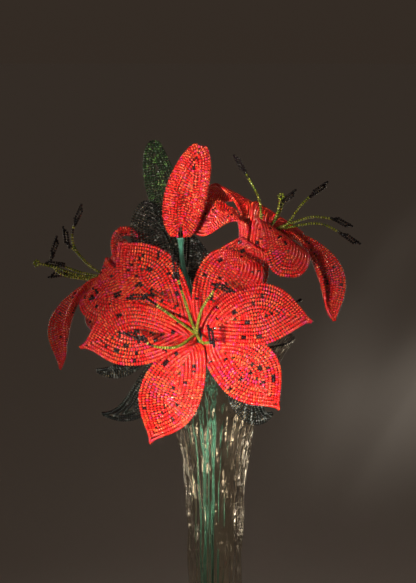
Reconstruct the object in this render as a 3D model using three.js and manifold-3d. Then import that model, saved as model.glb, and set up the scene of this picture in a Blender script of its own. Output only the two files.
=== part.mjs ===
// A beaded tiger lily arrangement in a trumpet vase: three open blooms, a closed bud and seven leaves,
// each wound from rows of glass seed beads on wire, on taped stems that stand in a fluted glass vase.
// Millimetres. The origin is the centre of the vase's foot, +Z is up and the front bloom faces -Y.
import * as THREE from "three";
import { mergeVertices } from "three/addons/utils/BufferGeometryUtils.js";
import Module from "manifold-3d";

const wasm = await Module();
wasm.setup();

// ---- driving sizes ----
const ROW_PITCH = 1.95; // from one row of beads to the next
const BEAD_ACROSS = 1.9; // a bead's own diameter, so a blade's greatest thickness
const ROW_VALLEY = 1.2; // thickness between two rows
const BLADE_EDGE = 0.9; // thickness at the rim of a blade
const ROOT_HALF_WIDTH = 1.2; // half the width of a blade where its wires gather
const CLEARANCE = 0.3; // between pieces that touch
const WIRE_STEM_RADIUS = 1.5; // a taped wire stem
const CALYX_RADIUS = 6; // the taped cup under an open bloom
const CALYX_LENGTH = 9;
const WHORL_RADIUS = 2.8; // from the bloom's axis to the innermost tepal roots
const WHORL_STEP = 1.45; // from one layer of tepals to the next
const THROAT_DEPTH = 19; // how far the tepals run together before they open
const THROAT_SPREAD = 3; // how far the innermost tepals lean out over that depth
const THROAT_SPREAD_STEP = 3; // and how much more each layer behind them does
const FILAMENT_RADIUS = 0.85; // a single string of beads
const FILAMENT_BUNDLE = { radius: 1.4, length: 8 }; // where a bloom's filaments are bound together
const FILAMENT_ROOT = { height: 4, spread: 0.6 }; // where a filament leaves the bundle
const FILAMENT_BEND = { height: 0.7 * THROAT_DEPTH, spread: 1.1 }; // where it starts to lean out
const ANTHER_LOOP = { long: 9, wide: 2.1 }; // the loop of beads at a filament's end, between string centres

const COLOURS = {
  tepal: 0xc8201c,
  leaf: 0x16281a,
  filament: 0x8f8a22,
  tape: 0x2f6b4c,
  glass: 0xd8d4c4,
};
const ROUGHNESS = { tepal: 0.25, leaf: 0.25, filament: 0.3, tape: 0.7, glass: 0.08 };

// How finely a piece is cut into flat faces.
const BLADE_STATIONS = 8; // points along each side of a row
const RINGS_WIDE = 7; // steps from the rim to the midrib on a wide blade
const RINGS_NARROW = 5;
const WIDE_FROM = 7; // rows each side that make a blade a wide one
const SPINE_SAMPLES = 80;
const RING_SAMPLES = 240;
const STEM_CUT = { sides: 8, steps: 16 };
const BUNDLE_CUT = { sides: 8, steps: 1 };
const FILAMENT_CUT = { sides: 4, steps: 7 };
const LOOP_CUT = { sides: 4, steps: 10 };
const CUP_SIDES = 12;

const WELD = 1e-3; // corners nearer than this are one
const TINY = 1e-6; // as good as nothing
const RAD = Math.PI / 180;
const vec = (p) => new THREE.Vector3(...p);
const lerp = (a, b, u) => a + (b - a) * u;

// ---- solids ----
function toSolid(geometry) {
  geometry.deleteAttribute("normal");
  geometry.deleteAttribute("uv");
  const merged = mergeVertices(geometry, WELD);
  return new wasm.Manifold(
    new wasm.Mesh({
      numProp: 3,
      vertProperties: merged.attributes.position.array,
      triVerts: new Uint32Array(merged.index.array),
    }),
  );
}

function toGeometry(solid) {
  const mesh = solid.getMesh();
  const geometry = new THREE.BufferGeometry();
  geometry.setAttribute("position", new THREE.BufferAttribute(mesh.vertProperties, 3));
  geometry.setIndex(new THREE.BufferAttribute(mesh.triVerts, 1));
  geometry.computeVertexNormals();
  return geometry;
}

// ---- the curved sheet that every beaded blade follows ----
// The midrib is a cubic Bezier of root, throat, turn and tip. The sheet curls across it by a cup angle
// at its rim, turns about it by a twist, and waves along its rim. x runs along the midrib, y across it.
// A blade that stands in a whorl also wraps the whorl's axis near its root, as a turned body would.
const NO_RUFFLE = { height: 0, waves: 1 };
const RUFFLE_START = 0.1; // the share of a wave that the root stands at
const RUFFLE_LAG = 1.3; // radians by which the two edges are out of step
const WRAP_FADES = [0.3, 0.8]; // the shares of its length between which a blade stops wrapping the axis

class Blade {
  constructor({ spine, side, rows, peak, gather = 1, point, cup, whorl, twist = 0, ruffle = NO_RUFFLE }) {
    this.curve = new THREE.CubicBezierCurve3(...spine.map(vec));
    this.side = vec(side).normalize();
    this.halfWidth = (rows + 0.5) * ROW_PITCH;
    this.rings = rows < WIDE_FROM ? RINGS_NARROW : RINGS_WIDE;
    Object.assign(this, { peak, gather, point, cup, whorl, twist, ruffle });
    this.reach = [0];
    let last = this.curve.getPoint(0);
    for (let i = 1; i <= SPINE_SAMPLES; i++) {
      const next = this.curve.getPoint(i / SPINE_SAMPLES);
      this.reach.push(this.reach[i - 1] + next.distanceTo(last));
      last = next;
    }
    this.length = this.reach[SPINE_SAMPLES];
  }

  widthAt(x) {
    const u = Math.min(x / this.length, 1);
    const swell = Math.sin(Math.PI * u ** this.peak) ** lerp(this.gather, this.point, u);
    return Math.sqrt(ROOT_HALF_WIDTH ** 2 + (this.halfWidth ** 2 - ROOT_HALF_WIDTH ** 2) * swell ** 2);
  }

  parameterAt(x) {
    let i = this.reach.findIndex((r) => r >= x - TINY);
    i = Math.max(i, 1);
    return (i - 1 + (x - this.reach[i - 1]) / (this.reach[i] - this.reach[i - 1])) / SPINE_SAMPLES;
  }

  // How sharply the sheet bends across the midrib.
  bendAt(u, middle, along) {
    const cup = (lerp(this.cup[0], this.cup[1], u) * RAD) / this.halfWidth;
    if (!this.whorl) return cup || TINY;
    const { base, axis } = this.whorl;
    const out = middle.clone().sub(base);
    out.addScaledVector(axis, -out.dot(axis));
    const wrap = 1 - THREE.MathUtils.smoothstep(u, ...WRAP_FADES);
    return cup + (wrap * along.dot(axis)) / out.length() || TINY;
  }

  // A point of the sheet and its normal on the inner face.
  at(x, y) {
    const u = x / this.length;
    const t = Math.min(Math.max(this.parameterAt(x), 0), 1);
    const along = this.curve.getTangent(t);
    const across = this.side.clone().addScaledVector(along, -along.dot(this.side)).normalize();
    across.applyAxisAngle(along, -this.twist * u * RAD);
    const inner = new THREE.Vector3().crossVectors(across, along);
    const middle = this.curve.getPoint(t);
    const bend = this.bendAt(u, middle, along);
    const { height, waves } = this.ruffle;
    const phase = 2 * Math.PI * (waves * u + RUFFLE_START) + (y > 0 ? 0 : RUFFLE_LAG);
    const wave = height * (y / this.widthAt(x)) ** 2 * Math.sin(phase);
    const point = middle
      .addScaledVector(across, Math.sin(bend * y) / bend)
      .addScaledVector(inner, (1 - Math.cos(bend * y)) / bend + wave);
    const normal = inner
      .multiplyScalar(Math.cos(bend * y))
      .addScaledVector(across, -Math.sin(bend * y));
    return { point, normal };
  }
}

// A closed bud's petal: a third of a round body, on a bowed axis.
const BUD_SWELL = { peak: 0.8, point: 0.42 };
const BUD_HEADINGS = [0, 120, 240];

class BudPetal extends Blade {
  constructor({ spine, radius, heading }) {
    super({ spine, side: [1, 0, 0], rows: 5, ...BUD_SWELL, cup: [0, 0] });
    Object.assign(this, { radius, heading });
  }

  radiusAt(x) {
    return this.radius * Math.sin(Math.PI * Math.min(x / this.length, 1) ** this.peak) ** this.point;
  }

  widthAt(x) {
    return Math.max((this.radiusAt(x) * Math.PI) / BUD_HEADINGS.length - CLEARANCE, 0);
  }

  at(x, y) {
    const t = Math.min(Math.max(this.parameterAt(x), 0), 1);
    const along = this.curve.getTangent(t);
    const front = new THREE.Vector3(0, -1, 0);
    front.addScaledVector(along, -along.dot(front)).normalize();
    const radius = this.radiusAt(x);
    const turn = this.heading * RAD + y / Math.max(radius, TINY);
    const outward = front.applyAxisAngle(along, turn);
    const point = this.curve.getPoint(t).addScaledVector(outward, radius);
    const step = this.length / SPINE_SAMPLES;
    const slope = (this.radiusAt(x + step) - this.radiusAt(Math.max(x - step, 0))) / (2 * step);
    const normal = outward.addScaledVector(along, -slope).normalize();
    return { point, normal };
  }
}

// Where the ring that lies a distance in from the rim runs: its span along the midrib and its half width.
function ringOf(blade, inset) {
  const step = blade.length / RING_SAMPLES;
  const half = [];
  for (let i = 0; i <= RING_SAMPLES; i++) {
    const x = i * step;
    const before = blade.widthAt(Math.max(x - step, 0));
    const after = blade.widthAt(Math.min(x + step, blade.length));
    const slope = (after - before) / (2 * step);
    half.push(blade.widthAt(x) - inset * Math.sqrt(1 + slope * slope));
  }
  const widest = half.indexOf(Math.max(...half));
  let low = widest;
  while (low > 0 && half[low - 1] > 0) low -= 1;
  let high = widest;
  while (high < RING_SAMPLES && half[high + 1] > 0) high += 1;
  const halfAt = (x) => {
    const i = Math.min(Math.floor(x / step), RING_SAMPLES - 1);
    return Math.max(lerp(half[i], half[i + 1], x / step - i), 0);
  };
  return { low: low * step, high: high * step, halfAt };
}

// The closed solid of a blade. Its rings step in from the rim, and rise and sink by turns, so that low
// ridges run round both faces as the rows of beads do, down to one ridge on the midrib.
function bladeSolid(blade) {
  const perRing = 2 * (BLADE_STATIONS - 1);
  const positions = [];
  const index = [];
  const rings = [];
  for (let k = 0; k <= blade.rings; k++) {
    const midrib = k === blade.rings;
    const span = ringOf(blade, (blade.halfWidth * Math.min(k, blade.rings - 0.5)) / blade.rings);
    const inside = k % 2 ? BEAD_ACROSS : ROW_VALLEY;
    const thickness = k ? inside : BLADE_EDGE;
    const ring = [];
    for (let j = 0; j < perRing; j++) {
      const back = j >= BLADE_STATIONS;
      const station = back ? perRing - j : j;
      const share = 0.5 - 0.5 * Math.cos((Math.PI * station) / (BLADE_STATIONS - 1));
      const x = lerp(span.low, span.high, share);
      const end = station === 0 || station === BLADE_STATIONS - 1;
      const y = midrib || end ? 0 : span.halfAt(x) * (back ? -1 : 1);
      ring.push({ x, y });
    }
    rings.push(ring.map(({ x, y }) => {
      const { point, normal } = blade.at(x, y);
      const faces = [1, -1].map((side) => {
        const corner = point.clone().addScaledVector(normal, (side * thickness) / 2);
        positions.push(corner.x, corner.y, corner.z);
        return positions.length / 3 - 1;
      });
      return faces;
    }));
  }
  const quad = (a, b, c, d) => index.push(a, b, c, a, c, d);
  for (let j = 0; j < perRing; j++) {
    const next = (j + 1) % perRing;
    const rim = rings[0];
    quad(rim[j][0], rim[j][1], rim[next][1], rim[next][0]);
    for (let k = 0; k < blade.rings; k++) {
      const [here, inward] = [rings[k], rings[k + 1]];
      quad(here[j][0], here[next][0], inward[next][0], inward[j][0]);
      quad(here[j][1], inward[j][1], inward[next][1], here[next][1]);
    }
  }
  const geometry = new THREE.BufferGeometry();
  geometry.setAttribute("position", new THREE.Float32BufferAttribute(positions, 3));
  geometry.setIndex(index);
  return toSolid(geometry);
}

// A round bar along a smooth curve through its points.
function barSolid(points, radius, { sides, steps }) {
  const path = new THREE.CatmullRomCurve3(points.map(vec));
  const section = new THREE.Shape();
  for (let i = 0; i < sides; i++) {
    const angle = (2 * Math.PI * i) / sides;
    section[i ? "lineTo" : "moveTo"](radius * Math.cos(angle), radius * Math.sin(angle));
  }
  section.closePath();
  return toSolid(new THREE.ExtrudeGeometry(section, { steps, bevelEnabled: false, extrudePath: path }));
}

// A round bar bent into a closed loop that lies in one plane, with the plane's normal given.
function loopSolid(points, normal, radius, { sides, steps }) {
  const path = new THREE.CatmullRomCurve3(points.map(vec), true);
  const positions = [];
  const index = [];
  for (let i = 0; i < steps; i++) {
    const centre = path.getPointAt(i / steps);
    const outward = new THREE.Vector3().crossVectors(path.getTangentAt(i / steps), normal).normalize();
    for (let j = 0; j < sides; j++) {
      const angle = (2 * Math.PI * j) / sides;
      const corner = centre
        .clone()
        .addScaledVector(outward, radius * Math.cos(angle))
        .addScaledVector(normal, radius * Math.sin(angle));
      positions.push(...corner.toArray());
      const [a, b] = [i * sides + j, i * sides + ((j + 1) % sides)];
      const [c, d] = [a, b].map((here) => (here + sides) % (steps * sides));
      index.push(a, d, b, a, c, d);
    }
  }
  const geometry = new THREE.BufferGeometry();
  geometry.setAttribute("position", new THREE.Float32BufferAttribute(positions, 3));
  geometry.setIndex(index);
  return toSolid(geometry);
}

// ---- the vase ----
// Half sections from the middle of the foot up the outside, over the rim and down the inside to the floor.
const VASE_OUTSIDE = [
  [0, 0], [38, 0], [40, 2.5], [30, 8.5], [20, 16], [16, 30], [14.9, 60], [15, 100],
  [15.8, 128], [17.2, 150], [19.4, 167], [23.2, 184], [29.5, 202], [37, 219], [45, 231.5],
];
const VASE_INSIDE = [
  [44.2, 232.6], [42.6, 231.8], [34.8, 220.5], [27, 203], [20.6, 184], [16.8, 167], [14.5, 150],
  [13.1, 128], [12.3, 100], [12, 60], [11.5, 22], [8, 12], [0, 12],
];
const VASE_FLOOR = 12;
const FLUTES = 16;
const FLUTE_DEPTH = 0.45;
const FLUTES_RISE = { from: 16, to: 40 }; // heights between which the flutes grow out of the plain foot
const FLUTE_TURN = 8 * RAD; // how far the flutes wind round between the foot and the rim
const VASE_HEIGHT = 232.6;

function vaseSolid() {
  const profile = [...VASE_OUTSIDE, ...VASE_INSIDE].map(([r, z]) => new THREE.Vector2(r, z));
  const geometry = new THREE.LatheGeometry(profile, 2 * FLUTES);
  const position = geometry.attributes.position;
  const stretch = profile.length;
  for (let i = 0; i < position.count; i++) {
    const [radial, height, z] = [position.getX(i), position.getY(i), position.getZ(i)];
    const column = Math.floor(i / stretch);
    const outside = i % stretch < VASE_OUTSIDE.length - 1;
    const rise = THREE.MathUtils.smoothstep(height, FLUTES_RISE.from, FLUTES_RISE.to);
    const r = Math.hypot(radial, z);
    const relief = outside ? FLUTE_DEPTH * rise * (column % 2 ? -1 : 1) : 0;
    const angle = Math.atan2(radial, z) + (FLUTE_TURN * height) / VASE_HEIGHT;
    const out = r < TINY ? 0 : r + relief;
    position.setXYZ(i, out * Math.cos(angle), out * Math.sin(angle), height);
  }
  return toSolid(geometry);
}

// ---- stems, from the flower down to the vase's floor ----
const STEM_END = VASE_FLOOR + CLEARANCE;
const STEMS = {
  front: [
    [-9, -38, 239], [-8, -30, 237], [-5, -14, 224], [-3, -6, 195], [-2.4, -2.5, 140], [-2.4, -2.5, STEM_END],
  ],
  left: [[-40, 3, 256], [-31, 2, 250], [-14, 1, 234], [-7, 1.2, 200], [-6, 1.2, 140], [-6, 1.2, STEM_END]],
  right: [[18, 3, 277], [14, 2, 270], [7, 2, 245], [-0.5, 1.4, 200], [-2.4, 1.2, 140], [-2.4, 1.2, STEM_END]],
  bud: [
    [-19, -14, 290], [-18, -11, 275], [-10, -6, 245],
    [-6.8, -3.2, 200], [-6, -2.5, 140], [-6, -2.5, STEM_END],
  ],
};
const BLOOM_CUP = { radius: CALYX_RADIUS, length: CALYX_LENGTH };
const BUD_CUP = { radius: 2.4, length: 5 };

// A taped stem with the cup that its flower sits in: the wires of all the blades, bound together.
function stemSolid(points, axis, cup) {
  const bar = barSolid(points, WIRE_STEM_RADIUS, STEM_CUT);
  const [foot, rim] = [-cup.length, -CLEARANCE];
  const profile = [[0, foot], [WIRE_STEM_RADIUS, foot], [cup.radius, rim], [0, rim]];
  const geometry = new THREE.LatheGeometry(profile.map(([r, z]) => new THREE.Vector2(r, z)), CUP_SIDES);
  geometry.applyQuaternion(new THREE.Quaternion().setFromUnitVectors(new THREE.Vector3(0, 1, 0), axis));
  geometry.translate(...points[0]);
  return bar.add(toSolid(geometry));
}

// ---- blooms ----
// turn and tip are where the midrib swings over and where it ends. peak sets how far along the blade it
// is widest, gather and point how sharply it narrows to its root and to its tip, and level which layer
// of the whorl it stands in.
const TEPAL_ROWS = 8; // rows of beads on each side of the midrib
const TEPAL_GATHER = 0.5;
// Cups: the degrees by which the rim curls in at the root and at the tip, beside the wrap.
const FLAT = [10, -12];
const DEEP = [20, 5];
const ROLLED = [30, 60];
const WAVED = { height: 3, waves: 1.6 };
const BLOOMS = {
  front: {
    axis: [-0.12, -0.95, 0.25],
    tepals: [
      { level: 0, turn: [25, -90, 268], tip: [51, -60, 250], peak: 1.25, point: 1.5 },
      { level: 1, turn: [7, -73, 290], tip: [25, -32, 277], peak: 1.25, point: 1.4 },
      { level: 2, turn: [-42, -67, 284], tip: [-52, -40, 290], peak: 1.25, point: 1.5 },
      { level: 0, turn: [-47, -90, 252], tip: [-72, -58, 236], peak: 1.25, point: 1.7, ruffle: WAVED },
      { level: 1, turn: [-22, -90, 220], tip: [-35, -62, 185], peak: 1.2, point: 1.5, cup: DEEP },
      { level: 2, turn: [18, -86, 234], tip: [34, -60, 203], peak: 1.2, point: 1.5 },
    ],
    stamens: [
      { through: [[-26, -92, 261], [-36, -98, 269]], anther: [-44, -97, 269] },
      { through: [[-16, -92, 267], [-20, -98, 281]], anther: [-21, -97, 289] },
      { through: [[-6, -92, 264], [1, -98, 275]], anther: [10, -97, 270] },
      { through: [[-22, -92, 242], [-32, -98, 244], [-38, -100, 248]], anther: [-45, -99, 251] },
      { through: [[-6, -84, 243], [-2, -92, 245]], anther: [-3, -94, 253] },
    ],
  },
  left: {
    axis: [-0.75, 0.1, 0.5],
    tepals: [
      { level: 0, turn: [-81, -4, 275], tip: [-86, -14, 216], peak: 1.6, point: 1.2, cup: ROLLED,
        twist: 25 },
      { level: 1, turn: [-83, -32, 279], tip: [-46, -29, 245], peak: 1.6, point: 0.9, cup: [40, -5] },
      { level: 2, turn: [-66, -3, 296], tip: [-38, 10, 288], peak: 1.5, point: 1 },
      { level: 0, turn: [-78, 42, 274], tip: [-44, 54, 268], peak: 1.5, point: 1 },
      { level: 1, turn: [-82, 39, 254], tip: [-53, 50, 228], peak: 1.5, point: 1 },
      { level: 2, turn: [-64, 2, 232], tip: [-40, 4, 237], peak: 1.5, point: 1 },
    ],
    stamens: [
      { through: [[-67, -4, 271], [-78, -8, 284], [-79, -8, 292], [-77, -8, 299]], anther: [-73, -8, 307] },
      { through: [[-69, 2, 271], [-78, 4, 280], [-83, 4, 285]], anther: [-84, 4, 293] },
      { through: [[-74, -10, 270], [-86, -15, 275]], anther: [-94, -15, 276] },
      { through: [[-72, -8, 266], [-85, -10, 269], [-91, -8, 275], [-90, -8, 281]], anther: [-87, -8, 289] },
      { through: [[-73, 6, 265], [-85, 8, 267]], anther: [-93, 8, 266] },
    ],
    pistil: [[-75, -14, 269], [-88, -19, 274], [-97, -18, 276]],
  },
  right: {
    axis: [0.5, 0.1, 0.75],
    tepals: [
      { level: 0, turn: [32, 32, 308], tip: [48, 54, 284], peak: 1.5, point: 0.9 },
      { level: 2, turn: [11, -12, 313], tip: [-15, 4, 293], peak: 1.5, point: 0.9, twist: 20 },
      { level: 1, turn: [41, -50, 307], tip: [38, -54, 273], peak: 1.5, point: 0.35 },
      { level: 0, turn: [54, -8, 306], tip: [66, -14, 243], peak: 1.6, point: 1, cup: ROLLED, twist: -25 },
      { level: 1, turn: [20, 44, 322], tip: [-9, 38, 306], peak: 1.5, point: 0.9, twist: 10 },
      { level: 3, turn: [14, -34, 276], tip: [3, -21, 256], peak: 1.4, point: 1 },
    ],
    stamens: [
      { through: [[25, 0, 307], [20, -2, 319], [15, -4, 327]], anther: [11, -6, 335] },
      { through: [[34, -1, 299], [38, -3, 309]], anther: [43, -4, 313] },
      { through: [[39, -14, 297], [47, -16, 308], [54, -18, 315]], anther: [60, -18, 319] },
      { through: [[44, -17, 299], [53, -21, 302], [66, -25, 301]], anther: [73, -25, 297] },
      { through: [[46, -17, 297], [58, -21, 298], [71, -23, 292]], anther: [78, -23, 287] },
    ],
    pistil: [[33, -6, 299], [36, -8, 311]],
  },
};

function tepalBlade(bloom, base, tepal) {
  const axis = vec(bloom.axis).normalize();
  const outward = vec(tepal.turn).add(vec(tepal.tip)).multiplyScalar(0.5).sub(base);
  outward.addScaledVector(axis, -outward.dot(axis)).normalize();
  const root = base.clone().addScaledVector(outward, WHORL_RADIUS + WHORL_STEP * tepal.level);
  const throat = root
    .clone()
    .addScaledVector(axis, THROAT_DEPTH)
    .addScaledVector(outward, THROAT_SPREAD + THROAT_SPREAD_STEP * tepal.level);
  const side = new THREE.Vector3().crossVectors(outward, axis);
  return new Blade({
    rows: TEPAL_ROWS,
    gather: TEPAL_GATHER,
    cup: FLAT,
    whorl: { base, axis },
    ...tepal,
    spine: [root.toArray(), throat.toArray(), tepal.turn, tepal.tip],
    side: side.toArray(),
  });
}

// An anther is a string of beads looped back on itself, flat towards the front.
function antherSolid(from, to) {
  const along = vec(to).sub(vec(from)).normalize();
  const across = new THREE.Vector3().crossVectors(along, new THREE.Vector3(0, -1, 0)).normalize();
  const normal = new THREE.Vector3().crossVectors(across, along);
  const half = ANTHER_LOOP.wide / 2;
  const straight = ANTHER_LOOP.long / 2 - half;
  const middle = vec(from).addScaledVector(along, ANTHER_LOOP.long / 2 - FILAMENT_RADIUS);
  const points = [];
  for (const end of [1, -1]) {
    for (const angle of [-90, 0, 90]) {
      const reach = end * (straight + half * Math.cos(angle * RAD));
      const wide = end * half * Math.sin(angle * RAD);
      points.push(middle.clone().addScaledVector(along, reach).addScaledVector(across, wide).toArray());
    }
  }
  return loopSolid(points, normal, FILAMENT_RADIUS, LOOP_CUT);
}

function stamensSolid(bloom, base) {
  const axis = vec(bloom.axis).normalize();
  const onAxis = (height) => base.clone().addScaledVector(axis, height);
  const bundle = [CLEARANCE, FILAMENT_BUNDLE.length].map((height) => onAxis(height).toArray());
  let solid = barSolid(bundle, FILAMENT_BUNDLE.radius, BUNDLE_CUT);
  const strings = bloom.stamens.map((s) => s.through);
  if (bloom.pistil) strings.push(bloom.pistil);
  for (const through of strings) {
    const side = vec(through[0]).sub(onAxis(FILAMENT_BEND.height));
    side.addScaledVector(axis, -side.dot(axis)).normalize();
    const lower = [FILAMENT_ROOT, FILAMENT_BEND].map(({ height, spread }) =>
      onAxis(height).addScaledVector(side, spread).toArray(),
    );
    solid = solid.add(barSolid([...lower, ...through], FILAMENT_RADIUS, FILAMENT_CUT));
  }
  for (const { through, anther } of bloom.stamens) {
    solid = solid.add(antherSolid(through[through.length - 1], anther));
  }
  return solid;
}

// ---- bud ----
const BUD = { spine: [[-19, -14, 290.1], [-19, -14, 311], [-13, -14, 322], [-8, -14, 341]], radius: 10.9 };

// ---- leaves ----
const LEAVES = [
  { spine: [[-14.6, -6.1, 262], [-18, 22, 296], [-37, 22, 320], [-34, 14, 342]], side: [1, 0.2, 0],
    rows: 5, peak: 1.3, point: 0.45, cup: [25, 25] },
  { spine: [[-16.7, -8.1, 258], [-27, -4, 279], [-39, -4, 291], [-38, -9, 310]], side: [0.9, 0.3, 0.3],
    rows: 7, peak: 1.2, point: 0.55, cup: [25, 15] },
  { spine: [[-10, -7, 254], [-8, -6, 270], [-9, -7, 281], [-13, -7, 291]], side: [0.7, 0.7, 0],
    rows: 4, peak: 1, point: 1, cup: [30, 20] },
  { spine: [[-9.2, -26, 236], [-29, -35, 265], [-38, -48, 212], [-65, -36, 220]], side: [0.1, -0.6, 0.7],
    rows: 4, peak: 1.1, point: 0.7, cup: [20, 20] },
  { spine: [[-10, -30, 240], [-30, -43, 257], [-28, -64, 192], [-62, -36, 196]], side: [-0.3, -0.2, 0.9],
    rows: 4, peak: 1.1, point: 1, cup: [20, 20] },
  { spine: [[-4.5, -28, 237], [3, -57, 267], [11, -64, 183], [31, -52, 200]], side: [0.2, -0.3, 0.9],
    rows: 5, peak: 1.5, point: 0.9, cup: [20, 20] },
  { spine: [[7.3, 0.5, 238], [18, -8, 240], [34, -6, 246], [48, -10, 255]], side: [0.3, 0.8, 0],
    rows: 4, peak: 1.1, point: 1, cup: [20, 20] },
];

// ---- the arrangement ----
const arrangement = new THREE.Group();
const materials = Object.fromEntries(
  Object.entries(COLOURS).map(([finish, color]) => [
    finish,
    new THREE.MeshStandardMaterial({ color, roughness: ROUGHNESS[finish], metalness: 0 }),
  ]),
);

function place(name, solid, finish) {
  const mesh = new THREE.Mesh(toGeometry(solid), materials[finish]);
  mesh.name = name;
  arrangement.add(mesh);
}

place("glass_vase", vaseSolid(), "glass");
for (const [name, bloom] of Object.entries(BLOOMS)) {
  const base = vec(STEMS[name][0]);
  const axis = vec(bloom.axis).normalize();
  place(`${name}_stem`, stemSolid(STEMS[name], axis, BLOOM_CUP), "tape");
  place(`${name}_stamens`, stamensSolid(bloom, base), "filament");
  bloom.tepals.forEach((tepal, i) => {
    place(`${name}_tepal_${i + 1}`, bladeSolid(tepalBlade(bloom, base, tepal)), "tepal");
  });
}
const budAxis = vec(BUD.spine[1]).sub(vec(BUD.spine[0])).normalize();
place("bud_stem", stemSolid(STEMS.bud, budAxis, BUD_CUP), "tape");
BUD_HEADINGS.forEach((heading, i) => {
  place(`bud_petal_${i + 1}`, bladeSolid(new BudPetal({ ...BUD, heading })), "tepal");
});
LEAVES.forEach((leaf, i) => {
  place(`leaf_${i + 1}`, bladeSolid(new Blade(leaf)), "leaf");
});

export default arrangement;
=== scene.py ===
import math

import bpy
import numpy as np
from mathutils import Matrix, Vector


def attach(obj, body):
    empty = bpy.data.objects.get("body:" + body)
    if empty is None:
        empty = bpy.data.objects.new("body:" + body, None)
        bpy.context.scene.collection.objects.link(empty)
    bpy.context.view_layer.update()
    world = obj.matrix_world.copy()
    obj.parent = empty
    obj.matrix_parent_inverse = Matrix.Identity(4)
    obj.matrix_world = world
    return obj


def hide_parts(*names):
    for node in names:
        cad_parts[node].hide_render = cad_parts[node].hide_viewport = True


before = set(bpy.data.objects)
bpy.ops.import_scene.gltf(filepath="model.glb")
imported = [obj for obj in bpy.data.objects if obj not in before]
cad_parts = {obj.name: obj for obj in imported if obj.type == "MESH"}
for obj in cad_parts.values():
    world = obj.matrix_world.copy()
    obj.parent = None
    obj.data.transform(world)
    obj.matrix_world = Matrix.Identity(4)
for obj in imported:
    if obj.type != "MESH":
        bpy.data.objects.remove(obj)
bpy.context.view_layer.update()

MM = 0.001

# ---- the maker's sizes ----
ROW_PITCH = 1.95  # from one row of beads to the next
BEAD = {"across": 2.1, "along": 1.42}  # along is measured on the wire
STAMEN_BEAD = {"across": 1.7, "along": 1.42}
WIRE_ACROSS = 0.4
ROOT_HALF_WIDTH = 1.2  # half the width of a blade where its wires gather
CLEARANCE = 0.3  # between pieces that touch
STEM_RADIUS = 1.5
WHORL_RADIUS = 2.8  # from a bloom's axis to its innermost tepal roots
WHORL_STEP = 1.45  # from one layer of tepals to the next
THROAT_DEPTH = 19  # how far the tepals run together before they open
THROAT_SPREAD = 3  # how far the innermost tepals lean out over that depth
THROAT_SPREAD_STEP = 3  # and how much more each layer behind them does
FILAMENT_ROOT = {"height": 4, "spread": 0.6}  # where a filament leaves the bloom's heart
FILAMENT_BEND = {"height": 0.7 * THROAT_DEPTH, "spread": 1.1}  # where it starts to lean out
ANTHER_LOOP = {"half_long": 3.9, "half_wide": 0.86}  # its two strings of beads lie side by side
ANTHER_FADE = (0.85, 1)  # the share of a filament over which its beads turn from green to black
PISTIL_KNOB = {"half_long": 1.7, "half_wide": 1.5}  # a ring of beads at the tip
FRONT = np.array([0.0, -1.0, 0.0])

# How finely paths are followed: samples in each, and the steps of even paths.
SPAN_SAMPLES = 40
SPINE_SAMPLES = 80
RING_SAMPLES = 400
RIB_SAMPLES = 30
FEWEST_STEPS = 6
STAMEN_STEP = STAMEN_BEAD["along"] / 2
STEM_STEP = 0.9
WIRE_STEP = 3


def unit(vectors):
    """Vectors at length one."""
    return vectors / np.linalg.norm(vectors, axis=-1, keepdims=True)


def smoothstep(value, low, high):
    """Rises smoothly from 0 at low to 1 at high."""
    share = np.clip((value - low) / (high - low), 0, 1)
    return share * share * (3 - 2 * share)


def smooth_path(points, step, closed=False):
    """A centripetal Catmull-Rom curve through points, as evenly spaced points about a step apart."""
    knots = np.array(points, float)
    if closed:
        knots = np.concatenate([knots[-1:], knots, knots[:2]])
    else:
        knots = np.concatenate([2 * knots[:1] - knots[1:2], knots, 2 * knots[-1:] - knots[-2:-1]])
    dense = []
    for before, start, end, after in zip(knots, knots[1:], knots[2:], knots[3:]):
        t0 = 0
        gaps = (start - before, end - start, after - end)
        t1, t2, t3 = np.cumsum([np.linalg.norm(gap) ** 0.5 for gap in gaps])
        t = np.linspace(t1, t2, SPAN_SAMPLES, endpoint=False)[:, None]
        a = ((t1 - t) * before + (t - t0) * start) / (t1 - t0)
        b = ((t2 - t) * start + (t - t1) * end) / (t2 - t1)
        c = ((t3 - t) * end + (t - t2) * after) / (t3 - t2)
        d = ((t2 - t) * a + (t - t0) * b) / (t2 - t0)
        e = ((t3 - t) * b + (t - t1) * c) / (t3 - t1)
        dense.append(((t2 - t) * d + (t - t1) * e) / (t2 - t1))
    dense = np.concatenate([*dense, knots[-2:-1]])
    reach = np.concatenate([[0], np.cumsum(np.linalg.norm(np.diff(dense, axis=0), axis=1))])
    wanted = np.linspace(0, reach[-1], max(int(reach[-1] / step), FEWEST_STEPS) + 1)
    even = np.stack([np.interp(wanted, reach, values) for values in dense.T], axis=1)
    return even[:-1] if closed else even


# ---- the curved sheet that a blade's rows lie on ----
NO_RUFFLE = (0, 1)  # height, and waves along the blade
RUFFLE_START = 0.1  # the share of a wave that the root stands at
RUFFLE_LAG = 1.3  # radians by which the two edges are out of step
WRAP_FADES = (0.3, 0.8)  # the shares of its length between which a blade stops wrapping the bloom's axis
TINY = 1e-6
ROW_ENDS_AT = 0.05  # a row's two ends stop this share of a row from the midrib
MIDDLE_ROW_FROM = 0.6  # the middle row runs where the row beside it is this share of a row away


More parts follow.
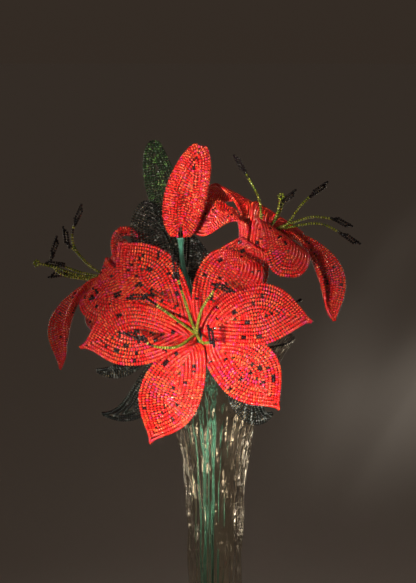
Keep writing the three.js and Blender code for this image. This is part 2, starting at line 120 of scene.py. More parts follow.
class Blade:
    """A sheet about a Bezier midrib of root, throat, turn and tip. x runs along it and y across it.

    Near its root a tepal also wraps its bloom's axis, given as whorl, as a turned body would.
    """

    def __init__(self, spine, side, rows, peak, point, cup, gather=1, whorl=None, twist=0, ruffle=NO_RUFFLE):
        self.spine = np.array(spine, float)
        self.side = unit(np.array(side, float))
        self.rows, self.peak, self.gather, self.point = rows, peak, gather, point
        self.cup, self.whorl, self.twist, self.ruffle = cup, whorl, twist, ruffle
        self.half_width = (rows + 0.5) * ROW_PITCH
        self.share = np.linspace(0, 1, SPINE_SAMPLES + 1)
        steps = np.linalg.norm(np.diff(self.midrib(self.share), axis=0), axis=1)
        self.reach = np.concatenate([[0], np.cumsum(steps)])
        self.length = self.reach[-1]

    def midrib(self, share):
        """Points of the midrib."""
        s = share[:, None]
        root, throat, turn, tip = self.spine
        return (1 - s) ** 3 * root + 3 * (1 - s) ** 2 * s * throat + 3 * (1 - s) * s**2 * turn + s**3 * tip

    def heading(self, share):
        """The way that the midrib runs."""
        s = share[:, None]
        first, second, third = np.diff(self.spine, axis=0)
        return unit((1 - s) ** 2 * first + 2 * (1 - s) * s * second + s**2 * third)

    def width(self, x):
        """Half the sheet's width."""
        u = np.clip(x / self.length, 0, 1)
        swell = np.maximum(np.sin(np.pi * u**self.peak), 0) ** (self.gather + (self.point - self.gather) * u)
        return np.sqrt(ROOT_HALF_WIDTH**2 + (self.half_width**2 - ROOT_HALF_WIDTH**2) * swell**2)

    def bend(self, u, middle, along):
        """How sharply the sheet bends across the midrib."""
        bend = np.radians(self.cup[0] + (self.cup[1] - self.cup[0]) * u) / self.half_width
        if self.whorl:
            base, axis = self.whorl
            out = middle - base
            out = np.linalg.norm(out - axis * (out @ axis)[:, None], axis=1, keepdims=True)
            bend = bend + (1 - smoothstep(u, *WRAP_FADES)) * (along @ axis)[:, None] / out
        return np.where(np.abs(bend) < TINY, TINY, bend)

    def at(self, x, y):
        """Points of the sheet."""
        share = np.interp(x, self.reach, self.share)
        u = (x / self.length)[:, None]
        middle = self.midrib(share)
        along = self.heading(share)
        across = unit(self.side - along * (along @ self.side)[:, None])
        inner = np.cross(across, along)
        turned = np.radians(self.twist) * u
        across, inner = (
            across * np.cos(turned) + inner * np.sin(turned),
            inner * np.cos(turned) - across * np.sin(turned),
        )
        bend = self.bend(u, middle, along)
        height, waves = self.ruffle
        y, width = y[:, None], self.width(x)[:, None]
        phase = 2 * np.pi * (waves * u + RUFFLE_START) + np.where(y > 0, 0, RUFFLE_LAG)
        rise = (1 - np.cos(bend * y)) / bend + height * (y / width) ** 2 * np.sin(phase)
        return middle + across * np.sin(bend * y) / bend + inner * rise

    def ring(self, inset):
        """The row that lies this far in from the rim: x along the midrib and the half width y there."""
        x = np.linspace(0, self.length, RING_SAMPLES)
        rim_x = np.concatenate([[0], x, [self.length]])
        rim_y = np.concatenate([[0], self.width(x), [0]])
        apart = np.abs(x[:, None] - rim_x)
        below = np.sqrt(np.maximum(inset**2 - apart**2, 0))
        y = np.where(apart < inset, rim_y - below, np.inf).min(axis=1)
        within = y > ROW_ENDS_AT * ROW_PITCH
        middle = int(np.argmax(y))
        low = middle - int(np.argmin(within[middle::-1])) + 1
        high = middle + int(np.argmin(within[middle:]))
        return x[low:high], y[low:high]


class BudPetal(Blade):
    """A closed bud's petal: a third of a round body on a bowed axis."""

    def __init__(self, spine, radius, heading):
        super().__init__(spine, (1, 0, 0), rows=5, peak=0.8, point=0.42, cup=(0, 0))
        self.radius, self.turned = radius, math.radians(heading)

    def radius_at(self, x):
        u = np.clip(x / self.length, 0, 1)
        return self.radius * np.maximum(np.sin(np.pi * u**self.peak), 0) ** self.point

    def width(self, x):
        return np.maximum(self.radius_at(x) * math.pi / 3 - CLEARANCE, 0)

    def at(self, x, y):
        share = np.interp(x, self.reach, self.share)
        along = self.heading(share)
        front = unit(FRONT - along * (along @ FRONT)[:, None])
        beside = np.cross(along, front)
        radius = self.radius_at(x)
        angle = (self.turned + y / np.maximum(radius, TINY))[:, None]
        return self.midrib(share) + radius[:, None] * (front * np.cos(angle) + beside * np.sin(angle))


# ---- strings of beads ----
class Strings:
    """Wires of one piece, some strung with beads, and how likely a bead at each point is to be a spot."""

    def __init__(self):
        self.points, self.edges, self.strung, self.spots = [], [], [], []

    def add(self, points, strung=True, spots=0.0, closed=False):
        first = len(self.points)
        count = len(points)
        self.points.extend(points)
        self.edges.extend((first + i, first + i + 1) for i in range(count - 1))
        if closed:
            self.edges.append((first + count - 1, first))
        self.strung.extend([float(strung)] * count)
        self.spots.extend(np.broadcast_to(spots, count))

    def mesh(self, name):
        mesh = bpy.data.meshes.new(name)
        mesh.from_pydata([tuple(p * MM) for p in self.points], self.edges, [])
        for label, values in (("strung", self.strung), ("spotted", self.spots)):
            mesh.attributes.new(label, "FLOAT", "POINT").data.foreach_set("value", values)
        return mesh


# Spots fade in from the root and out towards the tip and the rim, between these shares of the way.
SPOTS_FROM_ROOT = (0.12, 0.25)
SPOTS_TO_TIP = (0.7, 0.85)
SPOTS_TO_RIM = (0.7, 0.9)


def spots_along(blade, x, y, share):
    """How likely a bead is to be a dark spot: on the blade's middle, away from its rim, root and tip."""
    u = x / blade.length
    inside = 1 - smoothstep(np.abs(y) / blade.width(x), *SPOTS_TO_RIM)
    return share * inside * smoothstep(u, *SPOTS_FROM_ROOT) * (1 - smoothstep(u, *SPOTS_TO_TIP))


def blade_strings(blade, spots=0.0):
    """The rows of a blade, one inside the other, its middle row, and the bare wire from its root."""
    strings = Strings()
    for row in range(blade.rows):
        x, y = blade.ring((row + 0.5) * ROW_PITCH)
        there_and_back = np.concatenate([x, x[::-1]]), np.concatenate([y, -y[::-1]])
        strings.add(blade.at(*there_and_back), spots=spots_along(blade, *there_and_back, spots))
    middle = x[y > MIDDLE_ROW_FROM * ROW_PITCH]
    if len(middle) > 1:
        on_midrib = np.zeros_like(middle)
        strings.add(blade.at(middle, on_midrib), spots=spots_along(blade, middle, on_midrib, spots))
    rib = np.linspace(0, x[0], RIB_SAMPLES)
    strings.add(blade.at(rib, np.zeros_like(rib)), strung=False)
    return strings


def filament_path(base, axis, through):
    """A filament's points: out of the bloom's heart, along its axis, then outwards."""
    lean = through[0] - (base + axis * FILAMENT_BEND["height"])
    lean = unit(lean - axis * (lean @ axis))
    lower = [base + axis * at["height"] + lean * at["spread"] for at in (FILAMENT_ROOT, FILAMENT_BEND)]
    return smooth_path([*lower, *through], STAMEN_STEP)


def ring_of_beads(centre, along, half_long, half_wide):
    """A closed loop that lies flat towards the front, with round ends."""
    across = unit(np.cross(along, FRONT))
    points = []
    for end in (1, -1):
        for degrees in (-90, 0, 90):
            angle = math.radians(degrees)
            reach = end * (half_long - half_wide + half_wide * math.cos(angle))
            points.append(centre + along * reach + across * (end * half_wide * math.sin(angle)))
        points.extend(points[-1] - along * (end * (half_long - half_wide) * way) for way in (0.5, 1, 1.5))
    return smooth_path(points, STAMEN_STEP, closed=True)


def stamen_strings(base, axis, stamens, pistil):
    """A bloom's filaments, each ending in a looped anther of dark beads, and its pistil with a knob."""
    strings = Strings()
    for through, anther in stamens:
        through = np.array(through, float)
        path = filament_path(base, axis, through)
        strings.add([base, path[0]], strung=False)
        strings.add(path, spots=smoothstep(np.linspace(0, 1, len(path)), *ANTHER_FADE))
        along = unit(np.array(anther, float) - through[-1])
        middle = through[-1] + along * (ANTHER_LOOP["half_long"] - STAMEN_BEAD["across"] / 2)
        strings.add(ring_of_beads(middle, along, **ANTHER_LOOP), spots=1.0, closed=True)
    if pistil:
        path = filament_path(base, axis, np.array(pistil, float))
        strings.add([base, path[0]], strung=False)
        strings.add(path)
        along = unit(path[-1] - path[-2])
        strings.add(ring_of_beads(path[-1] + along, along, **PISTIL_KNOB), closed=True)
    return strings


# ---- node trees ----
def new_group(name, kind, inputs, outputs):
    """An empty node group with named sockets. Inputs are (name, socket type, default)."""
    group = bpy.data.node_groups.new(name, kind)
    for label, socket_type, default in inputs:
        socket = group.interface.new_socket(label, in_out="INPUT", socket_type=f"NodeSocket{socket_type}")
        if default is not None:
            socket.default_value = default
    for label, socket_type in outputs:
        group.interface.new_socket(label, in_out="OUTPUT", socket_type=f"NodeSocket{socket_type}")
    return group


def add_node(tree, kind, inputs=None, **settings):
    """A node with its settings made, and its inputs, by name or number, set or linked."""
    node = tree.nodes.new(kind)
    for label, value in settings.items():
        setattr(node, label, value)
    for label, value in (inputs or {}).items():
        if isinstance(value, bpy.types.NodeSocket):
            tree.links.new(value, node.inputs[label])
        else:
            node.inputs[label].default_value = value
    return node


def maths(tree, operation, first, second=0.0):
    """One sum on two numbers or sockets."""
    return add_node(tree, "ShaderNodeMath", {0: first, 1: second}, operation=operation).outputs[0]


def named_float(tree, label):
    """The value that the mesh keeps under this name."""
    return add_node(tree, "GeometryNodeInputNamedAttribute", {"Name": label}, data_type="FLOAT").outputs[0]


def random_float(tree, low, high, number, seed):
    """A random number for each bead, or for each run of beads, by its number."""
    sockets = {2: low, 3: high, 7: number, 8: seed}
    return add_node(tree, "FunctionNodeRandomValue", sockets, data_type="FLOAT").outputs[1]


SHOULDER_REACH = 0.1  # how far a bead's shoulders are drawn out towards its ends


def seed_bead(tree, across, along):
    """A seed bead about its Z axis: a ball whose shoulders are drawn out a little.

    It keeps its crown, which is 1 around its waist and 0 where the wire enters, and which sets where painted
    shade darkens the bead towards its ends.
    """
    ball = add_node(tree, "GeometryNodeMeshUVSphere", {"Segments": 8, "Rings": 4, "Radius": 1.0})
    position = add_node(tree, "GeometryNodeInputPosition").outputs[0]
    place = add_node(tree, "ShaderNodeSeparateXYZ", {0: position})
    height_squared = maths(tree, "MULTIPLY", place.outputs["Z"], place.outputs["Z"])
    crown = maths(tree, "SUBTRACT", 1.0, height_squared)
    radial = maths(tree, "MULTIPLY", across, 0.5)
    drawn_out = maths(tree, "ADD", 1.0, maths(tree, "MULTIPLY", crown, SHOULDER_REACH))
    axial = maths(tree, "MULTIPLY", drawn_out, maths(tree, "MULTIPLY", along, 0.5))
    shaped = add_node(tree, "ShaderNodeCombineXYZ", {
        "X": maths(tree, "MULTIPLY", place.outputs["X"], radial),
        "Y": maths(tree, "MULTIPLY", place.outputs["Y"], radial),
        "Z": maths(tree, "MULTIPLY", place.outputs["Z"], axial),
    })
    marked = add_node(tree, "GeometryNodeStoreNamedAttribute", {
        "Geometry": ball.outputs["Mesh"], "Name": "crown", "Value": crown,
    }, data_type="FLOAT", domain="POINT").outputs[0]
    moved = add_node(tree, "GeometryNodeSetPosition", {"Geometry": marked, "Position": shaped.outputs[0]})
    return moved.outputs[0]


def strung_beads_tree():
    """Threads beads on the strung wires of an edge mesh and gives every wire its thickness.

    Size Spread and Lean are how much the beads differ in size and in how straight they sit. Spot Run is
    how many beads share one draw for a dark spot.
    """
    tree = new_group("Strung Beads", "GeometryNodeTree", [
        ("Geometry", "Geometry", None),
        ("Bead Across", "Float", BEAD["across"] * MM),
        ("Bead Along", "Float", BEAD["along"] * MM),
        ("Size Spread", "Float", 0.05),
        ("Lean", "Float", 0.12),
        ("Spot Run", "Float", 1.2),
        ("Seed", "Int", 0),
        ("Wire Across", "Float", WIRE_ACROSS * MM),
        ("Glass", "Material", None),
        ("Wire", "Material", None),
    ], [("Geometry", "Geometry")])
    given = add_node(tree, "NodeGroupInput").outputs
    wires = add_node(tree, "GeometryNodeMeshToCurve", {"Mesh": given["Geometry"]}).outputs[0]
    strung = add_node(tree, "GeometryNodeSeparateGeometry", {
        "Geometry": wires,
        "Selection": maths(tree, "GREATER_THAN", named_float(tree, "strung"), 0.5),
    }, domain="CURVE").outputs[0]
    places = add_node(tree, "GeometryNodeResampleCurve", {
        "Curve": strung, "Length": given["Bead Along"],
    }, mode="LENGTH").outputs[0]

    number = add_node(tree, "GeometryNodeInputIndex").outputs[0]
    lean = add_node(tree, "FunctionNodeRandomValue", {
        0: (-1, -1, -1), 7: number, 8: given["Seed"],
    }, data_type="FLOAT_VECTOR").outputs[0]
    leaning = add_node(tree, "ShaderNodeVectorMath", {0: lean, "Scale": given["Lean"]}, operation="SCALE")
    heading = add_node(tree, "ShaderNodeVectorMath", {
        0: add_node(tree, "GeometryNodeInputTangent").outputs[0],
        1: leaning.outputs[0],
    }, operation="ADD").outputs[0]
    turned = add_node(tree, "FunctionNodeAlignRotationToVector", {"Vector": heading}, axis="Z").outputs[0]
    smallest = maths(tree, "SUBTRACT", 1.0, given["Size Spread"])
    largest = maths(tree, "ADD", 1.0, given["Size Spread"])
    beads = add_node(tree, "GeometryNodeInstanceOnPoints", {
        "Points": places,
        "Instance": seed_bead(tree, given["Bead Across"], given["Bead Along"]),
        "Rotation": turned,
        "Scale": random_float(tree, smallest, largest, number, given["Seed"]),
    }).outputs[0]

    run = maths(tree, "FLOOR", maths(tree, "DIVIDE", number, given["Spot Run"]))
    chance = random_float(tree, 0.0, 1.0, run, maths(tree, "ADD", given["Seed"], 1.0))
    spot = maths(tree, "LESS_THAN", chance, named_float(tree, "spotted"))
    tint = random_float(tree, 0.0, 1.0, number, maths(tree, "ADD", given["Seed"], 2.0))
    for label, value in (("spot", spot), ("tint", tint)):
        beads = add_node(tree, "GeometryNodeStoreNamedAttribute", {
            "Geometry": beads, "Name": label, "Value": value,
        }, data_type="FLOAT", domain="INSTANCE").outputs[0]
    beads = add_node(tree, "GeometryNodeRealizeInstances", {"Geometry": beads}).outputs[0]
    beads = add_node(tree, "GeometryNodeSetMaterial", {
        "Geometry": beads, "Material": given["Glass"],
    }).outputs[0]

    spaced = add_node(tree, "GeometryNodeResampleCurve", {
        "Curve": wires, "Length": WIRE_STEP * MM,
    }, mode="LENGTH").outputs[0]
    section = add_node(tree, "GeometryNodeCurvePrimitiveCircle", {
        "Resolution": 4, "Radius": maths(tree, "MULTIPLY", given["Wire Across"], 0.5),
    }, mode="RADIUS").outputs[0]
    bars = add_node(tree, "GeometryNodeCurveToMesh", {
        "Curve": spaced, "Profile Curve": section, "Fill Caps": True,
    }).outputs[0]
    bars = add_node(tree, "GeometryNodeSetMaterial", {
        "Geometry": bars, "Material": given["Wire"],
    }).outputs[0]

    whole = add_node(tree, "GeometryNodeJoinGeometry")
    tree.links.new(beads, whole.inputs[0])
    tree.links.new(bars, whole.inputs[0])
    smooth = add_node(tree, "GeometryNodeSetShadeSmooth", {"Geometry": whole.outputs[0]}).outputs[0]
    add_node(tree, "NodeGroupOutput", {"Geometry": smooth})
    return tree


def bead_piece(name, strings, glass, **inputs):
    """A piece of strung beads as a plain mesh. inputs are those of the tree, by name."""
    piece = bpy.data.objects.new(name, strings.mesh(name))
    bpy.context.collection.objects.link(piece)
    modifier = piece.modifiers.new("Beads", "NODES")
    modifier.node_group = STRUNG_BEADS
    values = {"Glass": glass, "Wire": CRAFT_WIRE, **inputs}
    for socket in STRUNG_BEADS.interface.items_tree:
        if socket.name in values:
            modifier[socket.identifier] = values[socket.name]
    depsgraph = bpy.context.evaluated_depsgraph_get()
    mesh = bpy.data.meshes.new_from_object(piece.evaluated_get(depsgraph), depsgraph=depsgraph)
    piece.modifiers.clear()
    piece.data = mesh
    return piece


def fit(piece, node):
    """Puts a piece in the place of its CAD node."""
    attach(piece, "root")
    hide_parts(node)


# ---- materials ----
def noise(tree, place, scale, detail):
    """A cloudy pattern in space."""
    return add_node(tree, "ShaderNodeTexNoise", {
        "Vector": place, "Scale": scale, "Detail": detail,
    }).outputs["Fac"]


def stretched(tree, place, scale):
    """Places whose pattern is drawn out along the axes that have a small scale."""
    return add_node(tree, "ShaderNodeMapping", {"Vector": place, "Scale": scale}).outputs[0]


def relief(tree, shader, height, strength, distance):
    """Low relief on a surface, as deep as distance in metres."""
    sizes = {"Height": height, "Strength": strength, "Distance": distance}
    tree.links.new(add_node(tree, "ShaderNodeBump", sizes).outputs[0], shader.inputs["Normal"])


def bead_colour_group():
    """A bead's colour: one of three tints, drifting over the piece in patches, or the spot's colour.

    Away from its crown a bead falls off to its painted shade, a dark painted where shade falls between two
    beads.
    """
    group = new_group("Bead Colour", "ShaderNodeTree", [
        ("Main", "Color", (1, 1, 1, 1)),
        ("Second", "Color", (1, 1, 1, 1)),
        ("Third", "Color", (1, 1, 1, 1)),
        ("Spot", "Color", (0, 0, 0, 1)),
        ("Depth", "Color", (0, 0, 0, 1)),
        ("Patch Scale", "Float", 60.0),
        ("Drift", "Float", 0.25),
    ], [("Color", "Color")])
    given = add_node(group, "NodeGroupInput").outputs
    tint = add_node(group, "ShaderNodeAttribute", attribute_name="tint").outputs["Fac"]
    spot = add_node(group, "ShaderNodeAttribute", attribute_name="spot").outputs["Fac"]
    place = add_node(group, "ShaderNodeTexCoord").outputs["Object"]
    patch = noise(group, place, given["Patch Scale"], 2.0)
    drift = maths(group, "MULTIPLY", maths(group, "SUBTRACT", patch, 0.5), given["Drift"])
    mixed = maths(group, "ADD", tint, maths(group, "MULTIPLY", drift, 2.0))
    second, third = (
        add_node(group, "ShaderNodeMapRange", {"Value": mixed, "From Min": low, "From Max": high}).outputs[0]
        for low, high in ((0.45, 0.7), (0.8, 0.95))
    )
    # Painted shade: each bead darkens from its waist towards its ends, where it meets the next bead.
    crown = add_node(group, "ShaderNodeAttribute", attribute_name="crown").outputs["Fac"]
    depth = add_node(group, "ShaderNodeMapRange", {
        "Value": crown, "From Min": 0.5, "From Max": 0.95, "To Min": 1.0, "To Max": 0.0,
    }).outputs[0]
    colour = given["Main"]
    for share, label in ((second, "Second"), (third, "Third"), (depth, "Depth"), (spot, "Spot")):
        colour = add_node(group, "ShaderNodeMix", {
            0: share, 6: colour, 7: given[label],
        }, data_type="RGBA").outputs[2]
    add_node(group, "NodeGroupOutput", {"Color": colour})
    return group


def new_material(name, **surface):
    """A material whose Principled BSDF has these values on its own sockets."""
    material = bpy.data.materials.new(name)
    material.use_nodes = True
    tree = material.node_tree
    shader = tree.nodes["Principled BSDF"]
    for label, value in surface.items():
        shader.inputs[label.replace("_", " ")].default_value = value
    return material, tree, shader


def bead_glass(name, main, second, third, spot, depth, **surface):
    """Lined glass: a coloured core that shines through a clear glossy outside."""
    values = {
        "Roughness": 0.4, "Specular_IOR_Level": 0.15,
        "Coat_Weight": 1.0, "Coat_Roughness": 0.14, "Coat_IOR": 1.65,
    }
    material, tree, shader = new_material(name, **{**values, **surface})
    colour = add_node(tree, "ShaderNodeGroup", node_tree=BEAD_COLOUR)
    # depth is painted shade: the colour each bead darkens to towards its ends.
    shades = {"Main": main, "Second": second, "Third": third, "Spot": spot, "Depth": depth}
    for label, value in shades.items():
        colour.inputs[label].default_value = (*value, 1)
    tree.links.new(colour.outputs["Color"], shader.inputs["Base Color"])
    return material


def craft_wire():
    """Thin brass wire."""
    return new_material("craft_wire", Base_Color=(0.62, 0.38, 0.16, 1), Metallic=1.0, Roughness=0.3)[0]


def floral_tape():
    """Waxed crepe tape: green, a little uneven, finely creased across its turns, and painted darker in the
    creases as shade.
    """
    material, tree, shader = new_material("floral_tape", Roughness=0.5, Sheen_Weight=0.15)
    place = add_node(tree, "ShaderNodeTexCoord").outputs["Object"]
    crepe = noise(tree, stretched(tree, place, (1, 1, 0.35)), 900.0, 3.0)
    wear = noise(tree, place, 120.0, 2.0)
    # Half the colour follows the crepe's relief, painted shade that darkens the creases; half is the wear's
    # uneven tone.
    share = maths(tree, "ADD", maths(tree, "MULTIPLY", crepe, 0.5), maths(tree, "MULTIPLY", wear, 0.5))
    colour = add_node(tree, "ShaderNodeMix", {
        0: share, 6: (0.01, 0.07, 0.045, 1), 7: (0.07, 0.26, 0.17, 1),
    }, data_type="RGBA").outputs[2]
    tree.links.new(colour, shader.inputs["Base Color"])
    relief(tree, shader, crepe, 0.4, 0.0002)
    return material


def vase_glass():
    """Clear blown glass with fine upright streaks and faint cross ripples from the mould."""
    material, tree, shader = new_material(
        "vase_glass", Base_Color=(0.86, 0.8, 0.7, 1), Roughness=0.02, IOR=1.5, Transmission_Weight=1.0
    )
    place = add_node(tree, "ShaderNodeTexCoord").outputs["Object"]
    streaks = noise(tree, stretched(tree, place, (1, 1, 0.05)), 330.0, 1.5)
    ripples = noise(tree, stretched(tree, place, (0.5, 0.5, 1)), 260.0, 1.0)
    relief(tree, shader, maths(tree, "ADD", streaks, maths(tree, "MULTIPLY", ripples, 0.25)), 0.9, 0.0012)
    return material


# ---- taped stems ----
TAPE_TURN = 7  # along the stem from one turn of tape to the next
TAPE_THICKNESS = 0.14
STEM_SIDES = 14


def mesh_object(name, vertices, faces):
    """A smooth piece from points in millimetres and its faces."""
    mesh = bpy.data.meshes.new(name)
    mesh.from_pydata([tuple(v) for v in vertices * MM], [], faces)
    mesh.shade_smooth()
    piece = bpy.data.objects.new(name, mesh)
    bpy.context.collection.objects.link(piece)
    return piece


def swept_tube(name, path, radius_at, sides):
    """A closed tube along a path, whose radius is a function of the way along it and the angle."""
    tangents = unit(np.gradient(path, axis=0))
    beside = unit(np.cross(tangents[0], (0.3, 0.9, 0.1)))
    reach = np.concatenate([[0], np.cumsum(np.linalg.norm(np.diff(path, axis=0), axis=1))])
    angles = np.linspace(0, 2 * math.pi, sides, endpoint=False)
    vertices = []
    for point, tangent, way in zip(path, tangents, reach):
        beside = unit(beside - tangent * (beside @ tangent))
        other = np.cross(tangent, beside)
        spokes = np.cos(angles)[:, None] * beside + np.sin(angles)[:, None] * other
        vertices.extend(point + spokes * radius_at(way, angles)[:, None])
    vertices.extend([path[0], path[-1]])
    count = len(path)
    faces = []
    for i in range(count - 1):
        for j in range(sides):
            k = (j + 1) % sides
            faces.append((i * sides + j, i * sides + k, (i + 1) * sides + k, (i + 1) * sides + j))
    first, last = count * sides, count * sides + 1
    for j in range(sides):
        k = (j + 1) % sides
        faces.append((first, k, j))
        faces.append((last, (count - 1) * sides + j, (count - 1) * sides + k))
    return mesh_object(name, np.array(vertices), faces)


def taped_stem(name, points, cup, tape):
    """A stem wound in tape, which opens into the cup that binds its flower's wires."""
    path = smooth_path(points, STEM_STEP)
    rim, length = cup

    def radius_at(way, angles):
        opening = 1 - smoothstep(way, 0, length)
        core = STEM_RADIUS - TAPE_THICKNESS + (rim - STEM_RADIUS) * opening
        return core + TAPE_THICKNESS * ((way / TAPE_TURN + angles / (2 * math.pi)) % 1)

    stem = swept_tube(f"{name}_taped", path, radius_at, STEM_SIDES)
    stem.data.materials.append(tape)
    fit(stem, name)


# ---- the vase ----
VASE_FOOT = [(0, 0), (36, 0), (38.4, 0.3), (39.7, 1.2), (40, 2.5)]
VASE_OUTSIDE = [
    (40, 2.5), (37.5, 4.6), (30, 8.5), (20, 16), (16, 30), (14.9, 60), (15, 100), (15.8, 128),
    (17.2, 150), (19.4, 167), (23.2, 184), (29.5, 202), (37, 219), (45, 231.5),
]
VASE_RIM = [(45, 231.5), (44.9, 232.3), (44.2, 232.6), (43.2, 232.4), (42.6, 231.8)]
VASE_INSIDE = [
    (42.6, 231.8), (34.8, 220.5), (27, 203), (20.6, 184), (16.8, 167), (14.5, 150), (13.1, 128),
    (12.3, 100), (12, 60), (11.5, 22),
]
VASE_FLOOR_HEIGHT = 12
VASE_FLOOR = [(11.5, 22), (11, 16), (8, 12.6), (0, VASE_FLOOR_HEIGHT)]
VASE_HEIGHT = 232.6
VASE_SIDES = 192
RIBS = 32
RIB_DEPTH = 0.36
RIB_TURN = math.radians(8)  # how far the ribs wind round between the foot and the rim
RIBS_RISE = (16, 40)  # heights between which the relief grows out of the plain foot
RIBS_FADE = (VASE_HEIGHT - 4, VASE_HEIGHT)  # and between which it fades into the rim
# A rib's depth wavers by this share, in three lobes round the vase. Heights are for one radian of a wave.
WAVER = {"share": 0.35, "lobes": 3, "drift_height": 19, "wave_height": 11}
SWIRLS = {"waves": 5, "depth": 0.45, "height": 6}  # broad waves that wind round the outside


def profile_path(points, step):
    """Even steps along the vase's section, as radius and height."""
    flat = [(radius, 0, height) for radius, height in points]
    return smooth_path(flat, step)[:, [0, 2]]


def vase_relief(angles, height):
    """How far the ribs and swirls stand out of the vase's outside at one height."""
    rise = smoothstep(height, *RIBS_RISE) * (1 - smoothstep(height, *RIBS_FADE))
    lobes = np.sin(WAVER["lobes"] * angles + height / WAVER["drift_height"])
    waver = 1 + WAVER["share"] * lobes * np.sin(height / WAVER["wave_height"])
    swirl = SWIRLS["depth"] * np.sin(SWIRLS["waves"] * angles + height / SWIRLS["height"])
    return rise * (RIB_DEPTH * waver * np.cos(RIBS * angles) + swirl)


def fluted_vase(glass):
    """The vase, turned from its section, with ribs that wind a little and waver as blown glass does."""
    outer = np.concatenate([profile_path(VASE_FOOT, 1.2)[:-1], profile_path(VASE_OUTSIDE, 2.6)])
    inner = np.concatenate([
        profile_path(VASE_RIM, 0.6)[1:-1], profile_path(VASE_INSIDE, 4), profile_path(VASE_FLOOR, 1.5)[1:],
    ])
    profile = np.maximum(np.concatenate([outer, inner]), 0)
    angles = np.linspace(0, 2 * math.pi, VASE_SIDES, endpoint=False)
    vertices = []
    for i, (radius, height) in enumerate(profile[1:-1], 1):
        wound = angles + RIB_TURN * height / VASE_HEIGHT
        outwards = radius + (vase_relief(angles, height) if i < len(outer) else np.zeros(VASE_SIDES))
        ring = [outwards * np.cos(wound), outwards * np.sin(wound), np.full(VASE_SIDES, height)]
        vertices.extend(np.stack(ring, axis=1))
    rows = len(profile) - 2
    bottom, floor = rows * VASE_SIDES, rows * VASE_SIDES + 1
    vertices.extend([np.array([0, 0, profile[0, 1]]), np.array([0, 0, profile[-1, 1]])])
    faces = []
    for j in range(VASE_SIDES):
        k = (j + 1) % VASE_SIDES
        faces.append((bottom, k, j))
        for below in range(0, (rows - 1) * VASE_SIDES, VASE_SIDES):
            above = below + VASE_SIDES
            faces.append((below + j, below + k, above + k, above + j))
        faces.append((floor, (rows - 1) * VASE_SIDES + j, (rows - 1) * VASE_SIDES + k))
    vase = mesh_object("fluted_vase", np.array(vertices), faces)
    vase.data.materials.append(glass)
    # Clear glass lets the light through to its foot and to the stems in it.
    vase.visible_shadow = False
    fit(vase, "glass_vase")


# ---- the flowers and leaves ----
STEM_END = VASE_FLOOR_HEIGHT + CLEARANCE
STEMS = {
    "front": [
        (-9, -38, 239), (-8, -30, 237), (-5, -14, 224), (-3, -6, 195), (-2.4, -2.5, 140),
        (-2.4, -2.5, STEM_END),
    ],
    "left": [
        (-40, 3, 256), (-31, 2, 250), (-14, 1, 234), (-7, 1.2, 200), (-6, 1.2, 140), (-6, 1.2, STEM_END),
    ],
    "right": [
        (18, 3, 277), (14, 2, 270), (7, 2, 245), (-0.5, 1.4, 200), (-2.4, 1.2, 140), (-2.4, 1.2, STEM_END),
    ],
    "bud": [
        (-19, -14, 290), (-18, -11, 275), (-10, -6, 245), (-6.8, -3.2, 200), (-6, -2.5, 140),
        (-6, -2.5, STEM_END),
    ],
}
BLOOM_CUP = (6, 9)  # radius and length
BUD_CUP = (2.4, 5)
# A blade's rows lie on each side of its midrib. peak sets how far along it is widest, point and gather
# how it narrows to its tip and its root, and level which layer of the whorl it stands in.
TEPAL_ROWS = 8
TEPAL_GATHER = 0.5
